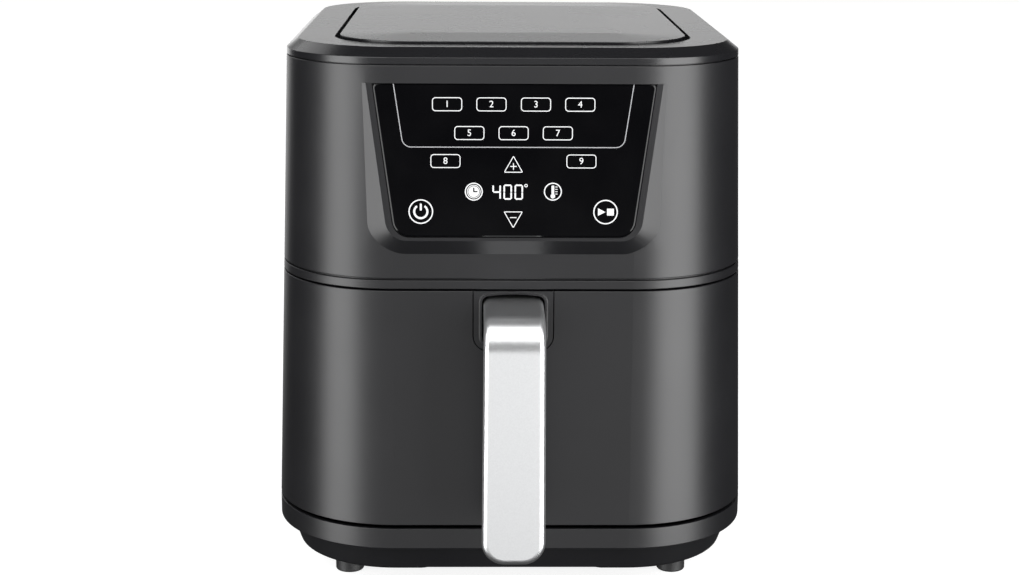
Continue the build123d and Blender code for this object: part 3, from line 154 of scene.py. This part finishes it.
finishes = {
    # near black, and grey only where a soft box shows in it
    "satinAbs": throughColoured("satin ABS, spark-eroded mould", {
        "colour": "#0f0f11", "lighter": "#121214", "roughness": 0.36, "spread": 0.02, "patchMm": 45,
        "grainMm": 0.9, "grainDepthMm": 0.02, "grainStrength": 0.25}),
    # the same black, glossier, so that what stands behind shows in the lid
    "lidAbs": throughColoured("satin ABS, finer mould texture", {
        "colour": "#0f0f11", "lighter": "#121214", "roughness": 0.27, "spread": 0.006, "patchMm": 45,
        "grainMm": 0.9, "grainDepthMm": 0.015, "grainStrength": 0.2}),
    # flatter and greyer than the shell, from the fibres in its skin
    "blackNylon": throughColoured("glass-filled nylon, moulded", {
        "colour": "#161617", "lighter": "#1b1b1c", "roughness": 0.48, "spread": 0.08, "patchMm": 20,
        "grainMm": 1.0, "grainDepthMm": 0.03, "grainStrength": 0.35}),
    # deepest black of all, with a clear but weak mirror image and a slight waviness
    "backPrintedGlass": throughColoured("back-printed float glass", {
        "colour": "#030304", "lighter": "#050506", "roughness": 0.1, "spread": 0.04, "patchMm": 35,
        "shine": 0.25, "grainMm": 14, "grainDepthMm": 0.01, "grainStrength": 0.05}),
    # dull charcoal with a broad soft shine
    "nitrileRubber": throughColoured("nitrile rubber, moulded", {
        "colour": "#1a1a1b", "lighter": "#202021", "roughness": 0.46, "spread": 0.12, "patchMm": 6,
        "grainMm": 0.8, "grainDepthMm": 0.05, "grainStrength": 0.5}),
    # matt dark grey with no clear highlight
    "silicone": throughColoured("silicone, compression moulded", {
        "colour": "#252527", "lighter": "#2c2c2e", "roughness": 0.55, "spread": 0.1, "patchMm": 5,
        "grainMm": 0.8, "grainDepthMm": 0.03, "grainStrength": 0.4}),
    # milky white, smooth
    "milkyAcrylic": throughColoured("opal acrylic, moulded", {
        "colour": "#d8d8d6", "lighter": "#e4e4e2", "roughness": 0.35, "spread": 0.1, "patchMm": 12,
        "grainMm": 1.0, "grainDepthMm": 0.01, "grainStrength": 0.2}),
    # green lacquer, mottled where copper lies under it
    "solderMask": throughColoured("FR4 board with solder mask", {
        "colour": "#0d3d1f", "lighter": "#175a30", "roughness": 0.3, "spread": 0.15, "patchMm": 4,
        "grainMm": 1.4, "grainDepthMm": 0.03, "grainStrength": 0.4}),
    # warm white under a wet-looking glaze
    "glazedCeramic": throughColoured("steatite ceramic, glazed", {
        "colour": "#d9d2c0", "lighter": "#e6e0d0", "roughness": 0.25, "spread": 0.15, "patchMm": 4,
        "grainMm": 0.8, "grainDepthMm": 0.02, "grainStrength": 0.3}),
    # blue, satin
    "relayCase": throughColoured("PBT relay case, moulded", {
        "colour": "#22346b", "lighter": "#2a3f7d", "roughness": 0.35, "spread": 0.1, "patchMm": 6,
        "grainMm": 0.7, "grainDepthMm": 0.02, "grainStrength": 0.3}),
    # waxy yellow, uneven over the wire
    "coreTape": throughColoured("polyester tape over windings", {
        "colour": "#b59216", "lighter": "#cfa826", "roughness": 0.4, "spread": 0.15, "patchMm": 5,
        "grainMm": 1.5, "grainDepthMm": 0.05, "grainStrength": 0.4}),
    # blue-black, tight and shiny
    "shrinkSleeve": throughColoured("PVC shrink sleeve", {
        "colour": "#15151f", "lighter": "#1d1d2a", "roughness": 0.25, "spread": 0.1, "patchMm": 5,
        "grainMm": 1.2, "grainDepthMm": 0.02, "grainStrength": 0.3}),
    # pale silver with a soft, even shine and no direction
    "satinSilver": workedMetal("aluminium, bead-blasted and lacquered", {
        "colour": "#e9eaeb", "lighter": "#eff0f1", "roughness": 0.31, "spread": 0.05,
        "streakMm": (0.9, 0.9, 0.9), "grainDepthMm": 0.01, "grainStrength": 0.12}),
    # grey sheet with upright rolling streaks
    "rolledSteel": workedMetal("aluminised steel sheet, pressed", {
        "colour": "#a9abad", "lighter": "#c2c4c6", "roughness": 0.32, "spread": 0.18,
        "streakMm": (1.2, 1.2, 40), "grainDepthMm": 0.02, "grainStrength": 0.25}),
    # slightly yellow grey, cloudy
    "zincSteel": workedMetal("zinc-plated steel", {
        "colour": "#b3b3ab", "lighter": "#c8c8c2", "roughness": 0.28, "spread": 0.18,
        "streakMm": (2, 2, 2), "grainDepthMm": 0.02, "grainStrength": 0.2}),
    # brown-grey and blotchy from heat
    "heatedTube": workedMetal("stainless tube, heat-darkened", {
        "colour": "#4a423c", "lighter": "#6d6259", "roughness": 0.38, "spread": 0.2,
        "streakMm": (8, 8, 8), "grainDepthMm": 0.02, "grainStrength": 0.2}),
    # pale sheet with fine layers across
    "stampedAluminium": workedMetal("aluminium sheet, stamped", {
        "colour": "#c4c6c8", "lighter": "#d6d8da", "roughness": 0.3, "spread": 0.16,
        "streakMm": (1.0, 24, 24), "grainDepthMm": 0.02, "grainStrength": 0.2}),
    # mid grey with zinc spangle
    "galvanisedShell": workedMetal("galvanised motor shell", {
        "colour": "#85878a", "lighter": "#a5a8ab", "roughness": 0.35, "spread": 0.2,
        "streakMm": (7, 7, 7), "grainDepthMm": 0.02, "grainStrength": 0.2}),
    # warm grey and the sharpest shine of the metals
    "nickelPlate": workedMetal("nickel plate on magnet", {
        "colour": "#a8a49c", "lighter": "#bcb8b0", "roughness": 0.22, "spread": 0.12,
        "streakMm": (2, 2, 2), "grainDepthMm": 0.01, "grainStrength": 0.15}),
    # charcoal with pale specks, slightly glossy
    "nonStick": speckledCoating("non-stick coating, sprayed", {
        "colour": "#242426", "speck": "#6a6a6c", "roughness": 0.38, "spread": 0.12, "patchMm": 25,
        "speckPitchMm": 3.2, "speckSize": 0.18, "speckCore": 0.6,
        "grainMm": 1.6, "grainDepthMm": 0.04, "grainStrength": 0.3}),
}
litWhite = litPrint("lit print window", {  # glowing white signs
    "base": "#8a8a8a", "bright": "#f2f3f4", "dim": "#dcdee0", "strength": 0.75, "mottleMm": 4,
    "roughness": 0.3})
paintedGlowGrey = litPrint("print line with painted glow", {  # grey print line with a weak painted glow, though no light stands behind it
    "base": "#7d7d7f", "bright": "#a4a5a7", "dim": "#8c8d8f", "strength": 0.35, "mottleMm": 6,
    "roughness": 0.3})

wornBy = {
    "satinAbs": ("base", "lower_housing", "mid_frame", "upper_housing", "rear_grille", "drawer_front",
                 "escutcheon"),
    "lidAbs": ("top_cover", "top_panel"),
    "blackNylon": ("drawer_back", "handle_core", "exhaust_duct", "reed_switch"),
    "backPrintedGlass": ("control_glass",),
    "nitrileRubber": ("foot_front_left", "foot_front_right", "foot_rear_left", "foot_rear_right",
                      "cord_gland"),
    "silicone": ("crisper_bumper_1", "crisper_bumper_2", "crisper_bumper_3", "crisper_bumper_4"),
    "milkyAcrylic": ("light_guide",),
    "solderMask": ("display_board", "power_board"),
    "glazedCeramic": ("element_bushes", "thermal_fuse"),
    "relayCase": ("relay",),
    "coreTape": ("transformer",),
    "shrinkSleeve": ("capacitor",),
    "satinSilver": ("handle_cover",),
    "rolledSteel": ("chamber_liner", "left_rail", "right_rail", "pan_hanger", "heater_hood",
                    "motor_bracket"),
    "zincSteel": ("foot_screws", "handle_screws", "motor_screws", "element_guard", "fan_shaft", "fan_nut",
                  "temperature_sensor"),
    "heatedTube": ("heating_element",),
    "stampedAluminium": ("hot_air_fan", "cooling_fan", "motor_bush"),
    "galvanisedShell": ("motor",),
    "nickelPlate": ("drawer_magnet",),
    "nonStick": ("basket", "crisper_plate"),
}
for finish, names in wornBy.items():
    for name in names:
        for slot in nodes[name].material_slots:
            slot.material = finishes[finish]
print("finishes set on", sum(len(names) for names in wornBy.values()), "nodes")

# Prints on the glass are drawn flat, in millimetres: x across, y up from the top edge of the glass
glass = {"origin": (-0.5, -136.05, 296.2), "lean": 5.9, "ink": 0.06}
onGlass = (Matrix.Translation(Vector(glass["origin"]) / mmPerMetre)
           @ Matrix.Rotation(math.radians(90 - glass["lean"]), 4, "X"))
cornerSteps = 6
prints = []


def selectOnly(plates):
    bpy.ops.object.select_all(action="DESELECT")
    for plate in plates:
        plate.select_set(True)
    bpy.context.view_layer.objects.active = plates[0]


def clearPicks():  # so that corners or faces can be picked in code
    bpy.ops.object.mode_set(mode="EDIT")
    bpy.ops.mesh.select_all(action="DESELECT")
    bpy.ops.object.mode_set(mode="OBJECT")


def editFaces():
    bpy.ops.object.mode_set(mode="EDIT")
    bpy.ops.mesh.select_mode(type="FACE")
    bpy.ops.mesh.select_all(action="SELECT")


def startFlat(corners):
    bpy.ops.object.select_all(action="DESELECT")
    bpy.ops.mesh.primitive_circle_add(vertices=len(corners), radius=1, fill_type="NGON")
    plate = bpy.context.object  # its corners now go to their places
    for vertex, (x, y) in zip(plate.data.vertices, corners):
        vertex.co = (x / mmPerMetre, y / mmPerMetre, 0)
    return plate


def roundCorners(plate, radius, below=None):  # all corners, or those below a level
    clearPicks()
    for vertex in plate.data.vertices:
        vertex.select = below is None or vertex.co.y * mmPerMetre < below
    bpy.ops.object.mode_set(mode="EDIT")
    bpy.ops.mesh.select_mode(type="VERT")
    bpy.ops.mesh.bevel(offset=radius / mmPerMetre, affect="VERTICES", segments=cornerSteps)
    bpy.ops.object.mode_set(mode="OBJECT")


def hollow(line):
    editFaces()
    bpy.ops.mesh.inset(thickness=line / mmPerMetre)
    bpy.ops.mesh.delete(type="FACE")
    bpy.ops.object.mode_set(mode="OBJECT")


def thicken(plate):
    selectOnly([plate])
    editFaces()
    bpy.ops.mesh.normals_make_consistent(inside=False)
    bpy.ops.mesh.extrude_region_move(TRANSFORM_OT_translate={"value": (0, 0, glass["ink"] / mmPerMetre)})
    bpy.ops.mesh.select_all(action="SELECT")
    bpy.ops.mesh.normals_make_consistent(inside=False)
    bpy.ops.object.mode_set(mode="OBJECT")


def moveTo(plate, place):
    selectOnly([plate])
    plate.location = (place[0] / mmPerMetre, place[1] / mmPerMetre, 0)
    bpy.ops.object.transform_apply(location=True, rotation=True, scale=True)


def around(centre, radius, angles):
    return [(centre[0] + radius * math.cos(a), centre[1] + radius * math.sin(a)) for a in angles]


def discAt(centre, radius, sides=32):
    return startFlat(around(centre, radius, [2 * math.pi * i / sides for i in range(sides)]))


def ringAt(centre, radius, line, sides=48):
    plate = discAt(centre, radius, sides)
    hollow(line)
    return plate


def barAt(start, end, width, corner=0.0):
    along = Vector((end[0] - start[0], end[1] - start[1])).normalized() * width / 2
    side = Vector((-along.y, along.x))
    plate = startFlat([Vector(start) - side, Vector(end) - side, Vector(end) + side, Vector(start) + side])
    if corner:
        roundCorners(plate, corner)
    return plate


def joinPrint(name, plates, material, lift=0.0):
    for plate in plates:
        thicken(plate)
    selectOnly(plates)
    if len(plates) > 1:
        bpy.ops.object.join()
    piece = bpy.context.object
    piece.name = name
    piece.matrix_world = onGlass @ Matrix.Translation((0, 0, lift / mmPerMetre))
    bpy.ops.object.transform_apply(location=True, rotation=True, scale=True)
    piece.data.materials.clear()
    piece.data.materials.append(material)
    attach(piece, "housing")
    prints.append(piece)


keyFrame = {
    "size": (16.5, 7.6), "round": 1.9, "line": 0.46,
    "places": [(-36.5, -11.3), (-12.2, -11.3), (12.2, -11.3), (36.5, -11.3), (-24.3, -27.0), (0, -27.0),
               (24.3, -27.0), (-37.4, -42.4), (37.4, -42.4)],
}
halfWide, halfTall = (size / 2 for size in keyFrame["size"])
firstFrame = startFlat([
    (-halfWide, -halfTall), (halfWide, -halfTall), (halfWide, halfTall), (-halfWide, halfTall)])
roundCorners(firstFrame, keyFrame["round"])
hollow(keyFrame["line"])
frames = [firstFrame]
for _ in keyFrame["places"][1:]:
    selectOnly([firstFrame])
    bpy.ops.object.duplicate(linked=False)
    frames.append(bpy.context.object)
for plate, place in zip(frames, keyFrame["places"]):
    moveTo(plate, place)
joinPrint("keyFrames", frames, litWhite)

keyNumber = {"height": 3.6, "figureShare": 0.7}  # a figure's share of its font size
numbers = []
for index, place in enumerate(keyFrame["places"]):
    bpy.ops.object.select_all(action="DESELECT")
    bpy.ops.object.text_add()
    text = bpy.context.object.data
    text.body = str(index + 1)
    text.size = keyNumber["height"] / keyNumber["figureShare"] / mmPerMetre
    text.align_x = "CENTER"
    text.align_y = "CENTER"
    bpy.ops.object.convert(target="MESH")
    number = bpy.context.object
    moveTo(number, place)
    numbers.append(number)
joinPrint("keyNumbers", numbers, litWhite)

# Tray outline round the keys, open along the top edge of the glass
divider = {"corners": [(-66.2, 0), (-60.9, -35.0), (60.9, -35.0), (66.2, 0)], "round": 4.5, "line": 0.5,
           "openAbove": -1, "openHalf": 30}
tray = startFlat(divider["corners"])
roundCorners(tray, divider["round"], below=divider["openAbove"])
hollow(divider["line"])
clearPicks()
for face in tray.data.polygons:
    face.select = (face.center.y > divider["openAbove"] / mmPerMetre
                   and abs(face.center.x) < divider["openHalf"] / mmPerMetre)
bpy.ops.object.mode_set(mode="EDIT")
bpy.ops.mesh.delete(type="FACE")
bpy.ops.object.mode_set(mode="OBJECT")
# the faint glow of this printed line is painted light
joinPrint("dividerLine", [tray], paintedGlowGrey)

arrow = {"plus": {"tip": -39.2, "base": -48.65}, "minus": {"tip": -79.55, "base": -70.1},
         "half": 5.4, "round": 0.9, "line": 0.46,
         "sign": 3.6, "signShare": 0.36}  # the sign's size, and its place on the way from base to tip
arrows = []
for sign in ("plus", "minus"):
    tip, base = arrow[sign]["tip"], arrow[sign]["base"]
    plate = startFlat([(-arrow["half"], base), (arrow["half"], base), (0, tip)])
    roundCorners(plate, arrow["round"])
    hollow(arrow["line"])
    arrows.append(plate)
    middle, reach = base + (tip - base) * arrow["signShare"], arrow["sign"] / 2
    arrows.append(barAt((-reach, middle), (reach, middle), arrow["line"]))
    if sign == "plus":
        arrows.append(barAt((0, middle - reach), (0, middle + reach), arrow["line"]))
joinPrint("arrowKeys", arrows, litWhite)

clock = {"centre": (-21.8, -59.2), "ring": 4.95, "ringLine": 0.6, "face": 3.75, "rim": 3.3, "rimLine": 0.3,
         "minuteHand": (-0.3, 2.2), "hourHand": 2.0, "handWidth": 0.7}
x, y = clock["centre"]
joinPrint("clockIcon", [
    ringAt(clock["centre"], clock["ring"], clock["ringLine"]),
    discAt(clock["centre"], clock["face"]),
], litWhite)
joinPrint("clockHands", [
    ringAt(clock["centre"], clock["rim"], clock["rimLine"]),
    barAt((x, y + clock["minuteHand"][0]), (x, y + clock["minuteHand"][1]), clock["handWidth"]),
    barAt((x, y), (x + clock["hourHand"], y), clock["handWidth"]),
], finishes["backPrintedGlass"], glass["ink"])  # dark, on the lit face

thermometer = {"centre": (21.8, -59.1), "ring": 4.95, "ringLine": 0.6,
               "tube": (-2.4, 3.4), "tubeWidth": 1.5, "tubeRound": 0.5, "bulbLevel": -2.5, "bulb": 1.25,
               "markLevels": (2.6, 1.3, 0.0, -1.3), "markEnds": (1.3, 2.6), "markLine": 0.4}
x, y = thermometer["centre"]
markStart, markEnd = (x + end for end in thermometer["markEnds"])
joinPrint("thermometerIcon", [
    ringAt(thermometer["centre"], thermometer["ring"], thermometer["ringLine"]),
    barAt((x, y + thermometer["tube"][0]), (x, y + thermometer["tube"][1]), thermometer["tubeWidth"],
          thermometer["tubeRound"]),
    discAt((x, y + thermometer["bulbLevel"]), thermometer["bulb"]),
] + [barAt((markStart, y + level), (markEnd, y + level), thermometer["markLine"])
     for level in thermometer["markLevels"]], litWhite)

power = {"centre": (-51.0, -70.3), "ring": 6.8, "ringLine": 0.65, "stem": (0.6, 4.4), "stemWidth": 1.1,
         "stemRound": 0.3, "arcRadii": (4.2, 3.1), "arcStart": 125, "arcSweep": 290, "arcSteps": 24}
x, y = power["centre"]
outer, inner = power["arcRadii"]
arc = [math.radians(power["arcStart"] + power["arcSweep"] * i / power["arcSteps"])
       for i in range(power["arcSteps"] + 1)]
joinPrint("powerIcon", [
    ringAt(power["centre"], power["ring"], power["ringLine"]),
    barAt((x, y + power["stem"][0]), (x, y + power["stem"][1]), power["stemWidth"], power["stemRound"]),
    startFlat(around(power["centre"], outer, arc) + around(power["centre"], inner, reversed(arc))),
], litWhite)

play = {"centre": (51.0, -70.3), "ring": 6.8, "ringLine": 0.65,
        "triangle": [(-4.2, -2.1), (-0.1, 0), (-4.2, 2.1)],
        "block": [(0.8, -1.9), (4.6, -1.9), (4.6, 1.9), (0.8, 1.9)]}
x, y = play["centre"]
joinPrint("playIcon", [
    ringAt(play["centre"], play["ring"], play["ringLine"]),
    *(startFlat([(x + across, y + up) for across, up in play[sign]]) for sign in ("triangle", "block")),
], litWhite)

# Seven-segment number with a degree ring: bars by letter, between corners of a digit's box
display = {"digits": "400", "size": (4.7, 8.4), "start": -9.2, "pitch": 6.1, "level": -59.4,
           "bar": 0.85, "barRound": 0.3, "barGap": 0.12, "degreePlace": 2.75, "degreeShift": (-0.6, -0.2),
           "degree": 0.95, "degreeLine": 0.45, "degreeSides": 16}
segments = {
    "a": ((-1, 1), (1, 1)), "b": ((1, 1), (1, 0)), "c": ((1, 0), (1, -1)), "d": ((-1, -1), (1, -1)),
    "e": ((-1, 0), (-1, -1)), "f": ((-1, 1), (-1, 0)), "g": ((-1, 0), (1, 0)),
}
litBars = {"0": "abcdef", "1": "bc", "2": "abdeg", "3": "abcdg", "4": "bcfg", "5": "acdfg", "6": "acdefg",
           "7": "abc", "8": "abcdefg", "9": "abcdfg"}
bars = []
wide, tall = (size / 2 - display["bar"] / 2 for size in display["size"])
for index, digit in enumerate(display["digits"]):
    middle = display["start"] + index * display["pitch"]
    for letter in litBars[digit]:
        start, end = (Vector((middle + wide * across, display["level"] + tall * up))
                      for across, up in segments[letter])
        gap = (end - start).normalized() * display["barGap"]
        bars.append(barAt(start + gap, end - gap, display["bar"], display["barRound"]))
degreeAt = (display["start"] + display["degreePlace"] * display["pitch"] + display["degreeShift"][0],
            display["level"] + tall + display["degreeShift"][1])
bars.append(ringAt(degreeAt, display["degree"], display["degreeLine"], display["degreeSides"]))
joinPrint("displayDigits", bars, litWhite)
print("console prints:", len(prints))

# Studio: the floor is lit grey and glows to white for the camera, a little less near the feet
ground = {"size": 8, "colour": "#a8a8a8", "roughness": 0.9, "glowNear": 0.86, "glowFar": 1.0,
          "glowReach": (0.25, 1.2)}
white = (1, 1, 1, 1)
bpy.ops.object.select_all(action="DESELECT")
bpy.ops.mesh.primitive_plane_add(size=ground["size"])
floor = bpy.context.object
floor.name = "floor"
floorPaint, tree, shader, place = startMaterial("matt white floor", {
    "Base Color": linear(ground["colour"]), "Roughness": ground["roughness"], "Emission Color": white})
distance = addNode(tree, "ShaderNodeVectorMath", {"operation": "LENGTH"}, {0: place})
glow = addNode(tree, "ShaderNodeMapRange", {
    "From Min": ground["glowReach"][0], "From Max": ground["glowReach"][1],
    "To Min": ground["glowNear"], "To Max": ground["glowFar"]}, {"Value": distance.outputs["Value"]})
rays = addNode(tree, "ShaderNodeLightPath", {}, {})
shown = addNode(tree, "ShaderNodeMath", {"operation": "MULTIPLY"},
                {0: glow.outputs["Result"], 1: rays.outputs["Is Camera Ray"]})
tree.links.new(shown.outputs["Value"], shader.inputs["Emission Strength"])
floor.data.materials.append(floorPaint)
floor.visible_glossy = False  # reflections look past the floor to the boxes and whites that reach below it
floor.visible_shadow = False  # and these still light the part

# Tall boxes at both sides, a small one near the front above the handle, and two behind
softBoxes = {
    "leftBox": {
        "place": (-1.005, -0.72, 0.35), "aim": (0, 0.02, 0.35), "size": (0.68, 1.7), "power": 21.5},
    "rightBox": {
        "place": (0.945, -0.83, 0.35), "aim": (0, 0.02, 0.35), "size": (0.92, 1.7), "power": 31},
    "frontBox": {
        "place": (0, -0.425, 0.552), "aim": (0, -0.165, -0.413), "size": (0.75, 0.404), "power": 2.6},
    "upperLeftBox": {
        "place": (-0.85, 0.75, 1.0), "aim": (0, 0.02, 0.3), "size": (0.7, 0.9), "power": 3},
    "rearBox": {
        "place": (0.1, 1.25, 1.5), "aim": (0, 0.05, 0.15), "size": (0.9, 0.9), "power": 7},
}
for name, box in softBoxes.items():
    lamp = bpy.data.lights.new(name, "AREA")
    lamp.shape = "RECTANGLE"
    lamp.size, lamp.size_y = box["size"]
    lamp.energy = box["power"]
    holder = bpy.data.objects.new(name, lamp)
    bpy.context.scene.collection.objects.link(holder)
    holder.location = box["place"]
    holder.rotation_euler = (Vector(box["aim"]) - holder.location).to_track_quat("-Z", "Y").to_euler()
    holder.visible_camera = False

# A dim room, white to the camera, with a white strip behind and a white card low in front.
# side, foot and top say where each white begins and is full, as shares of the view direction.
room = {
    "dim": 0.04,
    "strip": {"level": 1.9, "turn": 9, "side": (0.84, 0.96), "foot": (-0.36, -0.06), "top": (0.29, 0.01)},
    "card": {"level": 1.14, "turn": 180, "side": (0.55, 0.85), "foot": (-0.64, -0.28), "top": (0.04, -0.2)},
}
world = bpy.data.worlds.new("studio")
bpy.context.scene.world = world
world.use_nodes = True
tree = world.node_tree
background = tree.nodes["Background"]
direction = addNode(tree, "ShaderNodeTexCoord", {}, {}).outputs["Generated"]
height = addNode(tree, "ShaderNodeSeparateXYZ", {}, {"Vector": direction}).outputs["Z"]
whites = []
for sheet in (room["strip"], room["card"]):
    turn = math.radians(sheet["turn"])
    facing = addNode(tree, "ShaderNodeVectorMath", {
        "operation": "DOT_PRODUCT", 1: (-math.sin(turn), math.cos(turn), 0)}, {0: direction})
    across = facing.outputs["Value"]
    fades = []
    for source, edge, full in ((across, "side", sheet["level"]),
                               (height, "foot", 1.0), (height, "top", 1.0)):
        fade = addNode(tree, "ShaderNodeMapRange", {
            "interpolation_type": "SMOOTHSTEP", "From Min": sheet[edge][0], "From Max": sheet[edge][1],
            "To Min": 0.0, "To Max": full}, {"Value": source})
        fades.append(fade.outputs["Result"])
    band = addNode(tree, "ShaderNodeMath", {"operation": "MULTIPLY"}, {0: fades[1], 1: fades[2]})
    lit = addNode(tree, "ShaderNodeMath", {"operation": "MULTIPLY"},
                  {0: fades[0], 1: band.outputs["Value"]})
    whites.append(lit.outputs["Value"])
both = addNode(tree, "ShaderNodeMath", {"operation": "ADD"}, {0: whites[0], 1: whites[1]})
level = addNode(tree, "ShaderNodeMath", {"operation": "ADD", 1: room["dim"]}, {0: both.outputs["Value"]})
rays = addNode(tree, "ShaderNodeLightPath", {}, {})
seen = addNode(tree, "ShaderNodeMix", {"data_type": "FLOAT", 3: 1.0},  # its numbers are inputs 2 and 3
               {0: rays.outputs["Is Camera Ray"], 2: level.outputs["Value"]})
tree.links.new(seen.outputs[0], background.inputs["Strength"])
background.inputs["Color"].default_value = white
print("studio set")

view = {"place": (-0.02005, -1.16147, 0.42512), "lens": 66.23, "sensor": 36, "clipStart": 0.05,
        "azimuth": -1.029, "pitch": 13.356, "roll": 0.3537}
eye = bpy.data.cameras.new("photoCamera")
eye.lens = view["lens"]
eye.sensor_width = view["sensor"]
eye.clip_start = view["clipStart"]
stand = bpy.data.objects.new("photoCamera", eye)
bpy.context.scene.collection.objects.link(stand)
stand.matrix_world = (Matrix.Translation(view["place"])
                      @ Matrix.Rotation(math.radians(view["azimuth"]), 4, "Z")
                      @ Matrix.Rotation(math.radians(90 - view["pitch"]), 4, "X")
                      @ Matrix.Rotation(math.radians(view["roll"]), 4, "Z"))
bpy.context.scene.camera = stand
bpy.context.scene.view_settings.view_transform = "Standard"
